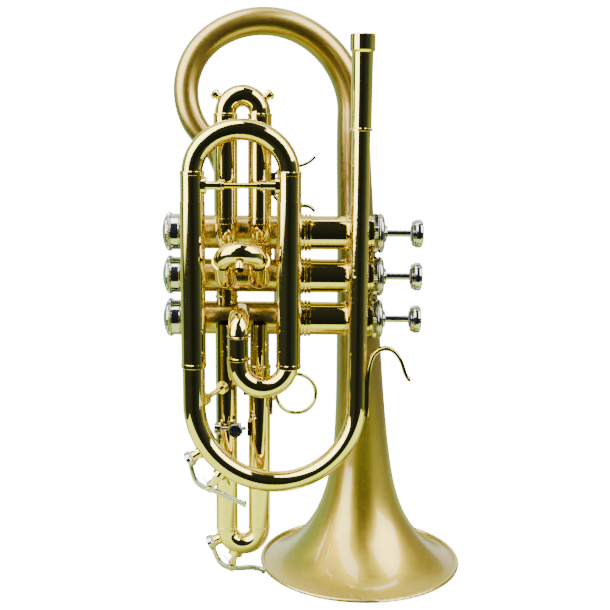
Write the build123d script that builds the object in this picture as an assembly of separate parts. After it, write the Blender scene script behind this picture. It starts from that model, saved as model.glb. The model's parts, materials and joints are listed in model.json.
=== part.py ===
"""Long-model cornet with a shepherd's crook, standing on its bell rim.

Frame: origin at the centre of the bell rim, +Z up the bell axis, +X towards the finger
buttons, and -Y towards the side that carries the leadpipe and the main tuning slide.
"""

from build123d import *
import math
import os

os.makedirs("parts", exist_ok=True)

# ---------------------------------------------------------------- driving sizes, mm

BELL_RADIUS = 60.0
BELL_WALL = 0.8
RIM_BEAD_R = 1.15
FLARE_TOP_Z = 60.0
TAIL_LEAN = 0.042  # sideways run of the bell tail per millimetre of height
CROOK_START_Z = 268.0
CROOK_ARCS = ((50.5, 61.0), (47.5, 62.0), (36.0, 102.5))  # bend radius and degrees
CROOK_LAST_R = 30.0  # the last arc bends back until the tube points straight down
CROOK_END_R = 6.0

VALVE_Y = -25.0
VALVE_PITCH = 24.0
VALVE_2_Z = 177.5
CASING_R = 9.3
CASING_BORE_R = 8.5
CASING_LOW_X = -103.4
CASING_TOP_X = 3.0
STROKE = 13.0
BUTTON_R = 7.85
BUTTON_X = 24.5
BUTTON_THICK = 5.8
STEM_R = 1.9
PISTON_R = 8.45

LOOP_Y = -51.5
LEADPIPE_X = -6.0
LOOP_LEFT_X = -93.8
LOOP_RIGHT_X = -43.0
LOOP_TUBE_R = 6.65
LOOP_FERRULE_Z = 133.5
LOOP_TOP_Z = 220.2
MAIN_BOW_Z = 111.0
TUNING_BOW_Z = 235.3
TUNING_RISE = 22.1  # height of the tuning bow above its ferrules
TUNING_TUBE_R = 5.6
SMALL_LEG_X = -69.8

RECEIVER_TOP_Z = 305.8
RECEIVER_LOW_Z = 257.0
RECEIVER_BORE_R = 4.9
RECEIVER_BORE_DEPTH = 30.0

FIRST_Y = -38.3
FIRST_X = (-77.2, -59.0)
FIRST_TOP_Z = 265.8
FIRST_LOW_Z = 211.1
FIRST_LEG_R = 6.4
FIRST_TURN_Z = (198.5, 201.0)

SECOND_X = (-77.3, -59.3)
SECOND_TILT = 38.0
SECOND_END = (-53.0, 188.8)  # Y and Z where the bow meets the legs
SECOND_TURN_Z = 177.9
SECOND_LEG_R = 6.1

THIRD_Y = -31.0
THIRD_X = (-77.9, -59.4)
THIRD_BOW_Z = 31.5
THIRD_SPLIT_Z = (86.0, 128.0)
THIRD_TRAVEL = 18.0
THIRD_LEG_R = 6.1

RING_R = 11.2
RING_WIRE_R = 1.1
RING_CENTRE = (-39.0, THIRD_Y, 111.5)

RUNNING_FIT = 0.05
TUBE_WALL = 0.6

PISTON_LOW_X = -86.0
PISTON_TOP_X = -18.0
BARREL_LOW_X = -50.0
GUIDE_X = -47.0
GUIDE_HALF = 1.6

SADDLE_WIDE = 8.0
SADDLE_THICK = 1.6
SECOND_GAP = 1.5

STOP_X = -72.0
STOP_Y = -39.6
STOP_Z = 93.5
STOP_ROD_R = 1.0

BRACE_Z = 228.4
HOOK_WIDE = 5.0
HOOK_THICK = 2.1

KEY_POST_Y = 3.1
KEY_LEVER_WIDE = 3.4

valve_z = [VALVE_2_Z + VALVE_PITCH, VALVE_2_Z, VALVE_2_Z - VALVE_PITCH]
loop_mid_x = (LOOP_LEFT_X + LEADPIPE_X) / 2
main_bow_r = (LEADPIPE_X - LOOP_LEFT_X) / 2
tilt = math.radians(SECOND_TILT)
second_dir = Vector(0, -math.cos(tilt), math.sin(tilt))


# ---------------------------------------------------------------- shape helpers


def put(name, shape):
    export_step(shape, f"parts/{name}.step")


def rod(start, end, radius):
    """Solid cylinder between two points."""
    path = Line(start, end)
    return sweep((path ^ 0) * Circle(radius), path=path)


def tube(path, outer, inner):
    """Round tube of constant section along a path of lines and tangent arcs."""
    section = (path ^ 0) * (Circle(outer) - Circle(inner))
    return sweep(section, path=path)


def bar(path, outer):
    return sweep((path ^ 0) * Circle(outer), path=path)


def u_route(left, right, out, lead):
    """Two straight legs joined by a half circle that bulges along out."""
    left, right, out = Vector(*left), Vector(*right), Vector(*out)
    top = (left + right) / 2 + out * ((right - left).length / 2)
    first = Line(tuple(left - out * lead), tuple(left))
    last = Line(tuple(right), tuple(right - out * lead))
    return first + ThreePointArc(tuple(left), tuple(top), tuple(right)) + last


def ribbon(path, thick, wide):
    """Strip of rounded section along a path in an XZ plane, wide along Y."""
    edge = min(thick, wide) * 0.32
    section = (path ^ 0) * RectangleRounded(thick, wide, edge)
    if abs(section.bounding_box().size.Y - wide) > 0.3:
        section = (path ^ 0) * RectangleRounded(wide, thick, edge)
    return sweep(section, path=path)


def x_cylinder(low, high, radius, z, y=VALVE_Y):
    """Cylinder along X, between two X values."""
    plane = Plane(origin=(low, y, z), x_dir=(0, 1, 0), z_dir=(1, 0, 0))
    return extrude(plane * Circle(radius), high - low)


def x_turned(outline, z, y=VALVE_Y):
    """Solid turned about the X axis of a valve from (x, radius) points."""
    face = Plane.XZ * make_face(Polyline(*outline, close=True))
    return Pos(0, y, z) * revolve(face, Axis.X)


def z_ring(x, y, low, high, outer, inner, edge=0.3):
    """Ferrule with eased outer edges on a tube that runs along Z."""
    body = Pos(x, y, (low + high) / 2) * Cylinder(outer, high - low)
    rims = body.edges().filter_by(GeomType.CIRCLE)
    body = chamfer(rims, edge)
    return body - Pos(x, y, (low + high) / 2) * Cylinder(inner, high - low + 1)


def tapered(stations, side):
    """Solid through circles: each station is (point, tangent, radius)."""
    circles = []
    for point, tangent, radius in stations:
        plane = Plane(origin=point, x_dir=side, z_dir=tangent)
        circles.append(plane * Circle(radius))
    return loft(circles)


def hollow(stations, side, wall):
    """Tapered tube closed by a ring at each end, with the same wall all along."""
    inner_stations = [(point, tangent, radius - wall) for point, tangent, radius in stations]
    faces = []
    for solid in (tapered(stations, side), tapered(inner_stations, side)):
        faces.extend(face for face in solid.faces() if face.geom_type != GeomType.PLANE)
    for point, tangent, radius in (stations[0], stations[-1]):
        plane = Plane(origin=point, x_dir=side, z_dir=tangent)
        faces.extend((plane * (Circle(radius) - Circle(radius - wall))).faces())
    return Solid(Shell(faces))


casing_body = [x_cylinder(CASING_LOW_X - 1, CASING_TOP_X + 1, CASING_R, z) for z in valve_z]


# ---------------------------------------------------------------- bell and crook


def bell_radius(z):
    """Slow cone of the tail plus the fast flare towards the rim."""
    flare = 39.0 * math.exp(-z / 23.5) + 4.2 * math.exp(-z / 3.0)
    return 16.8 - 0.030 * z + flare


def tail_station(z, wall=0.0):
    """Point, tangent and radius of the bell tail, which leans more and more above the flare."""
    rise = z - FLARE_TOP_Z
    ease = rise / (rise + 12.0)
    slope = TAIL_LEAN * ease * (2 - ease)
    tangent = Vector(-slope, 0, 1).normalized()
    return Vector(-TAIL_LEAN * rise * ease, 0, z), tangent, bell_radius(z) - wall


flare_heights = [0.6, 1.5, 3, 5, 8, 12, 17, 23, 30, 38, 48, FLARE_TOP_Z]
outer_points = [(bell_radius(z), z) for z in flare_heights]
inner_points = []
for z in flare_heights:
    slope = (bell_radius(z + 0.1) - bell_radius(z - 0.1)) / 0.2
    inner_points.append((bell_radius(z) - BELL_WALL * math.hypot(1, slope), z))
flare_outer = Spline(*outer_points)
flare_inner = Spline(*inner_points)
flare_face = make_face(
    [
        flare_outer,
        Line(outer_points[-1], inner_points[-1]),
        flare_inner,
        Line(inner_points[0], outer_points[0]),
    ]
)
flare = revolve(Plane.XZ * flare_face, Axis.Z)
bead = Pos(0, 0, RIM_BEAD_R - 0.2) * Torus(BELL_RADIUS - RIM_BEAD_R, RIM_BEAD_R)
bead = bead & Pos(0, 0, 5) * Box(140, 140, 10)

tail_heights = [FLARE_TOP_Z, 80.0, 110.0, 150.0, 200.0, CROOK_START_Z]
tail_stations = [tail_station(z) for z in tail_heights]
tail_solid = tapered(tail_stations, (0, 1, 0))
tail = hollow(tail_stations, (0, 1, 0), BELL_WALL)
put("bell", flare + bead + tail)

crook_start, start_tangent, crook_start_r = tail_stations[-1]
start_heading = math.degrees(math.atan2(start_tangent.Z, start_tangent.X))
last_turn = 270.0 - start_heading - sum(turn for radius, turn in CROOK_ARCS)
crook_arcs = [*CROOK_ARCS, (CROOK_LAST_R, last_turn)]
crook_length = sum(radius * math.radians(abs(turn)) for radius, turn in crook_arcs)


def crook_station(x, z, angle, travelled):
    """The crook drifts sideways from the bell to the plane of the valves as it goes round."""
    share = travelled / crook_length
    y = VALVE_Y * share * share * (3 - 2 * share)
    sideways = VALVE_Y * 6 * share * (1 - share) / crook_length
    tangent = Vector(math.cos(angle), sideways, math.sin(angle)).normalized()
    radius = crook_start_r + (CROOK_END_R - crook_start_r) * share
    return Vector(x, y, z), tangent, radius


heading = math.radians(start_heading)
x, z = crook_start.X, crook_start.Z
travelled = 0.0
crook_stations = [crook_station(x, z, heading, 0.0)]
for arc_r, turn in crook_arcs:
    sign = 1 if turn > 0 else -1
    centre_x = x - sign * arc_r * math.sin(heading)
    centre_z = z + sign * arc_r * math.cos(heading)
    steps = round(abs(turn) / 15)
    for step in range(1, steps + 1):
        angle = heading + math.radians(turn) * step / steps
        now = travelled + arc_r * math.radians(abs(turn)) * step / steps
        x = centre_x + sign * arc_r * math.sin(angle)
        z = centre_z - sign * arc_r * math.cos(angle)
        crook_stations.append(crook_station(x, z, angle, now))
    heading += math.radians(turn)
    travelled = now

crook_x = x
crook_stations[-1] = (Vector(x, VALVE_Y, z), Vector(0, 0, -1), CROOK_END_R)
crook = hollow(crook_stations, (0, 1, 0), BELL_WALL)
straight = Line((x, VALVE_Y, z), (x, VALVE_Y, valve_z[0] + 3))
crook_port = tube(straight, CROOK_END_R, CROOK_END_R - BELL_WALL) - casing_body[0]
crook_port += z_ring(crook_x, VALVE_Y, 213.0, 215.4, CROOK_END_R + 0.3, CROOK_END_R - 0.4, 0.1)
put("bell_crook", crook + crook_port)

# ---------------------------------------------------------------- mouthpipe and main loop

receiver_outline = [
    (RECEIVER_BORE_R, RECEIVER_TOP_Z),
    (6.25, RECEIVER_TOP_Z),
    (6.55, RECEIVER_TOP_Z - 0.4),
    (6.55, RECEIVER_TOP_Z - 8.0),
    (6.2, RECEIVER_TOP_Z - 8.5),
    (5.6, RECEIVER_TOP_Z - 9.2),
    (5.35, RECEIVER_LOW_Z + 1.6),
    (5.9, RECEIVER_LOW_Z + 1.2),
    (5.9, RECEIVER_LOW_Z + 0.2),
    (5.6, RECEIVER_LOW_Z),
    (4.2, RECEIVER_LOW_Z),
    (4.2, RECEIVER_TOP_Z - RECEIVER_BORE_DEPTH - 1.0),
    (RECEIVER_BORE_R, RECEIVER_TOP_Z - RECEIVER_BORE_DEPTH),
]
receiver_face = Plane.XZ * make_face(Polyline(*receiver_outline, close=True))
put("mouthpiece_receiver", Pos(LEADPIPE_X, LOOP_Y, 0) * revolve(receiver_face, Axis.Z))

pipe_axis = (0, 0, 1)
pipe_stations = [
    ((LEADPIPE_X, LOOP_Y, MAIN_BOW_Z), pipe_axis, 5.2),
    ((LEADPIPE_X, LOOP_Y, 180.0), pipe_axis, 5.0),
    ((LEADPIPE_X, LOOP_Y, RECEIVER_LOW_Z), pipe_axis, 4.8),
]
leadpipe = hollow(pipe_stations, (1, 0, 0), TUBE_WALL)
put("leadpipe", leadpipe)

bow_stations = []
for step in range(13):
    angle = math.pi * step / 12
    point = (
        loop_mid_x + main_bow_r * math.cos(angle),
        LOOP_Y,
        MAIN_BOW_Z - main_bow_r * math.sin(angle),
    )
    tangent = (math.sin(angle), 0, math.cos(angle))
    bow_stations.append((point, tangent, 5.2 + 0.9 * step / 12))
bow_solid = tapered(bow_stations, (0, 1, 0))
main_bow = hollow(bow_stations, (0, 1, 0), TUBE_WALL)
bow_rise = Line((LOOP_LEFT_X, LOOP_Y, MAIN_BOW_Z), (LOOP_LEFT_X, LOOP_Y, LOOP_FERRULE_Z - 2.5))
main_bow += tube(bow_rise, 6.1, 6.1 - TUBE_WALL)
left_ferrule = z_ring(LOOP_LEFT_X, LOOP_Y, LOOP_FERRULE_Z - 2.5, LOOP_FERRULE_Z, 6.9, 5.5)

for side, x in (("left", LOOP_LEFT_X), ("right", LOOP_RIGHT_X)):
    line = Line((x, LOOP_Y, LOOP_FERRULE_Z), (x, LOOP_Y, LOOP_TOP_Z))
    body = tube(line, LOOP_TUBE_R, LOOP_TUBE_R - TUBE_WALL)
    put(f"main_outer_tube_{side}", body)

small_left = (SMALL_LEG_X, LOOP_Y, LOOP_FERRULE_Z)
small_right = (LOOP_RIGHT_X, LOOP_Y, LOOP_FERRULE_Z)
small_rise = Line((SMALL_LEG_X, LOOP_Y, 148.6), small_left)
small_turn = ThreePointArc(
    small_left,
    ((SMALL_LEG_X + LOOP_RIGHT_X) / 2, LOOP_Y, LOOP_FERRULE_Z - (LOOP_RIGHT_X - SMALL_LEG_X) / 2),
    small_right,
)
small_arc = small_rise + small_turn
small_bow = tube(small_arc, 5.6, 5.0)
small_rings = z_ring(LOOP_RIGHT_X, LOOP_Y, LOOP_FERRULE_Z - 2.5, LOOP_FERRULE_Z, 6.9, 5.3)
small_rings += z_ring(SMALL_LEG_X, LOOP_Y, 135.0, 136.8, 6.1, 5.3)
small_rings += z_ring(SMALL_LEG_X, LOOP_Y, 147.4, 148.6, 6.1, 5.3)
put("small_bow", small_bow + small_rings)

knuckle_path = FilletPolyline(
    (SMALL_LEG_X, LOOP_Y, 148.6),
    (SMALL_LEG_X, LOOP_Y, 156.8),
    (SMALL_LEG_X, VALVE_Y - 6, 156.8),
    radius=8.0,
)
put("entry_knuckle", tube(knuckle_path, 5.7, 5.1) - casing_body[2])

# ---------------------------------------------------------------- valve cluster


def casing_rings(z):
    """Turned rings where the lower and upper halves of the casing meet."""
    rings = []
    for low, high, radius in (
        (-36.9, -35.2, 10.1),
        (-34.9, -33.2, 10.3),
        (-32.9, -31.2, 10.1),
        (-12.2, -9.6, 9.9),
        (-0.2, 1.6, 9.9),
    ):
        ring = x_cylinder(low, high, radius, z)
        ring = chamfer(ring.edges().filter_by(GeomType.CIRCLE), 0.35)
        rings.append(ring)
    return rings


first_ports = [
    rod((x, FIRST_Y, z), (x, VALVE_Y, z), 5.0) for x, z in zip(FIRST_X, FIRST_TURN_Z)
]
crook_cut = rod((crook_x, VALVE_Y, 220), (crook_x, VALVE_Y, valve_z[0]), 5.3)
crossover_x = (FIRST_X[1], THIRD_X[0])
cross_cuts = []
for index, x in enumerate(crossover_x):
    top, low = valve_z[index], valve_z[index + 1]
    cross_cuts.append(rod((x, VALVE_Y, top), (x, VALVE_Y, low), 5.2))
second_cuts = [
    rod((x, -45, SECOND_TURN_Z), (x, VALVE_Y, SECOND_TURN_Z), 5.2) for x in SECOND_X
]
third_cuts = [
    rod((x, THIRD_Y, 130), (x, THIRD_Y, valve_z[2]), 4.5) for x in THIRD_X
]
entry_cut = rod((SMALL_LEG_X, -45, 156.8), (SMALL_LEG_X, VALVE_Y, 156.8), 5.0)
ports = [
    [*first_ports, crook_cut, cross_cuts[0]],
    [*second_cuts, cross_cuts[0], cross_cuts[1]],
    [*third_cuts, entry_cut, cross_cuts[1]],
]

for index, z in enumerate(valve_z):
    number = index + 1
    shell = x_cylinder(CASING_LOW_X, CASING_TOP_X, CASING_R, z)
    for ring in casing_rings(z):
        shell += ring
    shell -= x_cylinder(CASING_LOW_X - 1, CASING_TOP_X + 1, CASING_BORE_R, z)
    for cut in ports[index]:
        inner = cut & x_cylinder(CASING_LOW_X, CASING_TOP_X, CASING_R + 0.5, z)
        shell -= inner
    guide = Pos(GUIDE_X, VALVE_Y, z) * Box(2 * GUIDE_HALF, 3.0, 2 * CASING_BORE_R + 0.4)
    guide -= x_cylinder(GUIDE_X - 3, GUIDE_X + 3, 1.2, z)
    shell += guide
    if number == 2:
        for side in (1, -1):
            for lug_x, half in ((-50.5, 1.3), (1.0, 1.6)):
                reach = VALVE_PITCH / 2
                lug = Pos(lug_x, VALVE_Y, z + side * reach) * Cylinder(half, 2 * reach - 2)
                neighbour = casing_body[0] if side > 0 else casing_body[2]
                lug -= neighbour
                lug -= x_cylinder(-60, 10, CASING_R - 0.2, z)
                if lug_x > 0:
                    ring_z = valve_z[0] if side > 0 else valve_z[2]
                    lug -= x_cylinder(-0.4, 1.8, 9.9, ring_z)
                shell += lug
    put(f"valve_casing_{number}", shell)

    top_cap = x_turned(
        [
            (CASING_TOP_X - 3.0, 4.5),
            (CASING_TOP_X - 3.0, CASING_BORE_R),
            (CASING_TOP_X, CASING_BORE_R),
            (CASING_TOP_X, 10.4),
            (CASING_TOP_X + 0.5, 10.9),
            (CASING_TOP_X + 1.8, 11.0),
            (CASING_TOP_X + 2.4, 10.5),
            (CASING_TOP_X + 3.0, 11.0),
            (CASING_TOP_X + 3.9, 10.8),
            (CASING_TOP_X + 4.8, 9.8),
            (CASING_TOP_X + 5.6, 8.0),
            (CASING_TOP_X + 6.3, 5.4),
            (CASING_TOP_X + 7.2, 4.4),
            (CASING_TOP_X + 7.6, 3.6),
            (CASING_TOP_X + 7.6, STEM_R + 0.4),
            (CASING_TOP_X + 4.0, STEM_R + 0.4),
            (CASING_TOP_X + 2.0, 4.5),
        ],
        z,
    )
    put(f"top_cap_{number}", top_cap)

    bottom_cap = x_turned(
        [
            (CASING_LOW_X + 3.0, 7.4),
            (CASING_LOW_X + 3.0, CASING_BORE_R),
            (CASING_LOW_X, CASING_BORE_R),
            (CASING_LOW_X, 9.7),
            (CASING_LOW_X - 0.4, 9.9),
            (CASING_LOW_X - 4.4, 9.9),
            (CASING_LOW_X - 4.6, 10.4),
            (CASING_LOW_X - 5.2, 10.7),
            (CASING_LOW_X - 6.4, 10.7),
            (CASING_LOW_X - 7.0, 10.4),
            (CASING_LOW_X - 7.6, 9.6),
            (CASING_LOW_X - 8.8, 7.0),
            (CASING_LOW_X - 9.6, 4.0),
            (CASING_LOW_X - 9.9, 1.5),
            (CASING_LOW_X - 8.7, 1.5),
            (CASING_LOW_X - 7.2, 7.4),
        ],
        z,
    )
    put(f"bottom_cap_{number}", bottom_cap)

    piston = x_cylinder(PISTON_LOW_X, PISTON_TOP_X, PISTON_R, z)
    barrel = x_cylinder(BARREL_LOW_X, PISTON_TOP_X - 1.5, 7.2, z)
    slot_low, slot_high = GUIDE_X - GUIDE_HALF - 0.6, GUIDE_X + GUIDE_HALF + STROKE + 0.6
    slot_mid = (slot_low + slot_high) / 2
    piston -= barrel
    piston -= Pos(slot_mid, VALVE_Y, z) * Box(slot_high - slot_low, 3.4, 30)
    for cut in ports[index]:
        piston -= cut
    piston -= x_cylinder(PISTON_LOW_X - 1, PISTON_LOW_X + 4, 6.8, z)
    put(f"piston_{number}", piston)

    stem = x_cylinder(PISTON_TOP_X, BUTTON_X, STEM_R, z)
    stem += x_cylinder(PISTON_TOP_X, PISTON_TOP_X + 1.2, 5.0, z)
    put(f"valve_stem_{number}", stem)

    button = x_turned(
        [
            (BUTTON_X, 0),
            (BUTTON_X, 6.6),
            (BUTTON_X + 0.5, 7.1),
            (BUTTON_X + 1.2, 7.1),
            (BUTTON_X + 1.7, 7.6),
            (BUTTON_X + 2.6, BUTTON_R),
            (BUTTON_X + 4.2, BUTTON_R),
            (BUTTON_X + 5.1, 7.5),
            (BUTTON_X + BUTTON_THICK, 6.4),
            (BUTTON_X + BUTTON_THICK - 0.3, 6.1),
            (BUTTON_X + BUTTON_THICK - 0.2, 0),
        ],
        z,
    )
    put(f"finger_button_{number}", button)

    coil_low = GUIDE_X + GUIDE_HALF + 0.2
    coil_high = PISTON_TOP_X - 1.7
    coil = x_cylinder(coil_low, coil_high, 6.6, z) - x_cylinder(coil_low - 1, coil_high + 1, 5.6, z)
    put(f"valve_spring_{number}", coil)

for index, x in enumerate(crossover_x):
    top, low = valve_z[index], valve_z[index + 1]
    link = rod((x, VALVE_Y, top), (x, VALVE_Y, low), 6.0)
    middle = (top + low) / 2
    link += Pos(x, VALVE_Y, middle) * Cylinder(6.5, 1.2)
    link -= rod((x, VALVE_Y, top), (x, VALVE_Y, low), 5.2)
    link -= casing_body[index]
    link -= casing_body[index + 1]
    put(f"crossover_{index + 1}_{index + 2}", link)

# ---------------------------------------------------------------- first slide

INNER_R = FIRST_LEG_R - TUBE_WALL - RUNNING_FIT
first_ports_pair = []
for x, turn_z in zip(FIRST_X, FIRST_TURN_Z):
    upper = Line((x, FIRST_Y, FIRST_LOW_Z - 0.4), (x, FIRST_Y, FIRST_TOP_Z - 6))
    path = FilletPolyline(
        (x, FIRST_Y, FIRST_LOW_Z - 0.4),
        (x, FIRST_Y, turn_z),
        (x, VALVE_Y - 5, turn_z),
        radius=6.4,
    )
    port = tube(path, INNER_R, INNER_R - TUBE_WALL) + tube(upper, INNER_R, INNER_R - TUBE_WALL)
    collar = z_ring(x, FIRST_Y, 207.4, FIRST_LOW_Z - 0.4, FIRST_LEG_R, INNER_R - 0.2)
    port += collar
    port -= casing_body[0]
    port -= rod((crook_x, VALVE_Y, 203), (crook_x, VALVE_Y, 240), CROOK_END_R + 0.35)
    first_ports_pair.append(port)
put("first_slide_ports", Compound([s for p in first_ports_pair for s in p.solids()]))

first_mid = sum(FIRST_X) / 2
first_r = (FIRST_X[1] - FIRST_X[0]) / 2
first_ends = [(x, FIRST_Y, FIRST_TOP_Z) for x in FIRST_X]
first_path = u_route(*first_ends, (0, 0, 1), 1.6)
first_bow = tube(first_path, 5.7, 5.1)
for x in FIRST_X:
    first_bow += z_ring(x, FIRST_Y, FIRST_TOP_Z - 1.6, FIRST_TOP_Z - 0.1, 6.6, 5.4)
bow_pieces = [*first_bow.solids()]
first_solid = bar(first_path, 5.7)
for sign in (-1, 1):
    angle = math.radians(34)
    out = Vector(sign * math.cos(angle), 0, math.sin(angle))
    centre = Vector(first_mid, FIRST_Y, FIRST_TOP_Z)
    knob = None
    for start, end, radius in ((4.8, 7.4, 1.7), (6.1, 6.9, 2.3), (7.4, 9.2, 2.75), (9.0, 10.1, 2.2)):
        low, high = centre + out * (first_r + start), centre + out * (first_r + end)
        bead = rod(tuple(low), tuple(high), radius)
        bead = chamfer(bead.edges().filter_by(GeomType.CIRCLE), 0.25)
        knob = bead if knob is None else knob + bead
    knob -= first_solid
    bow_pieces.extend(knob.solids())
put("first_slide_bow", Compound(bow_pieces))

first_legs = []
for x in FIRST_X:
    line = Line((x, FIRST_Y, FIRST_LOW_Z), (x, FIRST_Y, FIRST_TOP_Z - 1.6))
    first_legs.append(tube(line, FIRST_LEG_R, FIRST_LEG_R - TUBE_WALL))
put("first_slide_legs", Compound(first_legs))

saddle_x = FIRST_X[1] + FIRST_LEG_R + 0.35
saddle_path = Spline(
    (-29.6, FIRST_Y + 2, 243.6),
    (-33.4, FIRST_Y + 2, 240.2),
    (-39.6, FIRST_Y + 2, 238.2),
    (-46.4, FIRST_Y + 2, 237.4),
    (saddle_x - 0.1, FIRST_Y + 2, 231.4),
    (saddle_x - 0.1, FIRST_Y + 2, 224.6),
    (-46.4, FIRST_Y + 2, 218.2),
    (-39.6, FIRST_Y + 2, 217.0),
    (-33.4, FIRST_Y + 2, 217.0),
    (-29.6, FIRST_Y + 2, 214.2),
)
saddle = ribbon(saddle_path, SADDLE_THICK, SADDLE_WIDE)
saddle += Pos(saddle_x, FIRST_Y + 1.4, 228.7) * Box(3.0, 7.0, 12.0)
saddle -= Pos(FIRST_X[1], FIRST_Y, 230) * Cylinder(FIRST_LEG_R, 80)
put("thumb_saddle", saddle)

# ---------------------------------------------------------------- second slide

second_end = Vector(0, *SECOND_END)
corner_y = SECOND_END[0] + (SECOND_END[1] - SECOND_TURN_Z) / math.tan(tilt)
second_ports = []
for x in SECOND_X:
    start = Vector(x, *SECOND_END) - second_dir * SECOND_GAP
    path = FilletPolyline(
        tuple(start),
        (x, corner_y, SECOND_TURN_Z),
        (x, VALVE_Y - 5, SECOND_TURN_Z),
        radius=8.0,
    )
    leg = tube(path, SECOND_LEG_R, SECOND_LEG_R - TUBE_WALL) - casing_body[1]
    second_ports.extend(leg.solids())
put("second_slide_ports", Compound(second_ports))

second_r = (SECOND_X[1] - SECOND_X[0]) / 2
bow_low = [Vector(x, *SECOND_END) for x in SECOND_X]
second_inner = SECOND_LEG_R - TUBE_WALL - RUNNING_FIT
second_bow = tube(u_route(*bow_low, second_dir, 1.2), 5.65, 5.0)
for point in bow_low:
    leg = Line(tuple(point - second_dir * 12.5), tuple(point - second_dir * 0.6))
    second_bow += tube(leg, second_inner, second_inner - 0.5)
    ring = Line(tuple(point - second_dir * 1.2), tuple(point + second_dir * 0.6))
    second_bow += tube(ring, 6.3, second_inner - 0.3)
under = Vector(0, -math.sin(tilt), -math.cos(tilt))
apex = (bow_low[0] + bow_low[1]) / 2 + second_dir * second_r
second_bow += rod(tuple(apex + under * 5.3), tuple(apex + under * 7.6), 1.3)
second_bow += rod(tuple(apex + under * 7.6), tuple(apex + under * 10.4), 2.6)
put("second_slide_bow", second_bow)

# ---------------------------------------------------------------- third slide

third_in = THIRD_LEG_R - TUBE_WALL
fixed_left = Line((THIRD_X[0], THIRD_Y, THIRD_SPLIT_Z[0]), (THIRD_X[0], THIRD_Y, valve_z[2] - 2))
left_port = tube(fixed_left, THIRD_LEG_R, third_in) - casing_body[2]
put("third_slide_port_left", left_port)

right_inner = third_in - RUNNING_FIT
fixed_right = Line((THIRD_X[1], THIRD_Y, 60.0), (THIRD_X[1], THIRD_Y, valve_z[2] - 2))
right_port = tube(fixed_right, right_inner, right_inner - TUBE_WALL) - casing_body[2]
put("third_slide_port_right", right_port)

third_mid = sum(THIRD_X) / 2
third_r = (THIRD_X[1] - THIRD_X[0]) / 2
third_ends = [(x, THIRD_Y, THIRD_BOW_Z) for x in THIRD_X]
third_path = u_route(*third_ends, (0, 0, -1), 2.0)
third_bow = tube(third_path, 5.9, 5.3)
for x in THIRD_X:
    third_bow += z_ring(x, THIRD_Y, THIRD_BOW_Z, THIRD_BOW_Z + 2, 6.2, 5.6)
put("third_slide_bow", third_bow)

left_line = Line(
    (THIRD_X[0], THIRD_Y, THIRD_BOW_Z + 2), (THIRD_X[0], THIRD_Y, THIRD_SPLIT_Z[0] - 0.3)
)
left_inner_line = Line(
    (THIRD_X[0], THIRD_Y, THIRD_SPLIT_Z[0] - 4), (THIRD_X[0], THIRD_Y, THIRD_SPLIT_Z[0] + 34)
)
left_leg = tube(left_line, THIRD_LEG_R, third_in - 0.3)
left_leg += tube(left_inner_line, third_in - RUNNING_FIT, third_in - RUNNING_FIT - 0.5)

right_line = Line(
    (THIRD_X[1], THIRD_Y, THIRD_BOW_Z + 2), (THIRD_X[1], THIRD_Y, THIRD_SPLIT_Z[1] - 1.6)
)
right_leg = tube(right_line, THIRD_LEG_R, third_in)
right_leg += z_ring(
    THIRD_X[1], THIRD_Y, THIRD_SPLIT_Z[1] - 1.8, THIRD_SPLIT_Z[1], THIRD_LEG_R + 0.4, third_in
)
lug_low = STOP_Z + STOP_ROD_R + THIRD_TRAVEL + 0.3
lug_x = THIRD_X[1] - THIRD_LEG_R
right_leg += Pos(lug_x + 0.3, STOP_Y + 3.0, lug_low + 1.5) * Box(5.4, 8.0, 3.0)
right_leg += Pos(lug_x + 0.9, STOP_Y + 3.0, STOP_Z) * Box(2.4, 8.0, 8.0)
right_leg -= Pos(THIRD_X[1], THIRD_Y, 110) * Cylinder(third_in, 60)
put("third_slide_legs", Compound([*left_leg.solids(), *right_leg.solids()]))

ring = Pos(*RING_CENTRE) * Rot(90, 0, 0) * Torus(RING_R, RING_WIRE_R)
ring_foot = Pos(THIRD_X[1] + THIRD_LEG_R + 0.5, THIRD_Y, 107.0) * Box(1.8, 3.4, 15.0)
ring_foot = chamfer(ring_foot.edges().filter_by(Axis.Z), 0.4)
ring_left = RING_CENTRE[0] - RING_R
neck = rod((THIRD_X[1] + THIRD_LEG_R, THIRD_Y, 107.5), (ring_left, THIRD_Y, 109.0), 1.1)
ring = ring + ring_foot + neck
ring -= Pos(THIRD_X[1], THIRD_Y, 110) * Cylinder(THIRD_LEG_R, 40)
put("finger_ring", ring)

# ---------------------------------------------------------------- main tuning slide

bend_centre = ((LOOP_LEFT_X + LOOP_RIGHT_X) / 2, LOOP_Y, TUNING_BOW_Z - 0.5)
bend_plane = Plane(origin=bend_centre, x_dir=(1, 0, 0), z_dir=(0, -1, 0))
bend_half = (LOOP_RIGHT_X - LOOP_LEFT_X) / 2
path = bend_plane * EllipticalCenterArc((0, 0), bend_half, TUNING_RISE + 0.5, 0, arc_size=180)
tuning_bow = tube(path, TUNING_TUBE_R, TUNING_TUBE_R - TUBE_WALL)
slide_r = LOOP_TUBE_R - TUBE_WALL - RUNNING_FIT
for x in (LOOP_LEFT_X, LOOP_RIGHT_X):
    leg = Line((x, LOOP_Y, 165.0), (x, LOOP_Y, LOOP_TOP_Z + 1))
    sleeve = Line((x, LOOP_Y, LOOP_TOP_Z + 0.3), (x, LOOP_Y, TUNING_BOW_Z - 1.6))
    tuning_bow += tube(leg, slide_r, slide_r - TUBE_WALL)
    tuning_bow += tube(sleeve, 6.35, 5.4)
    tuning_bow += z_ring(x, LOOP_Y, TUNING_BOW_Z - 1.8, TUNING_BOW_Z + 0.6, 6.5, 5.4)
put("tuning_slide", tuning_bow)

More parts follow.
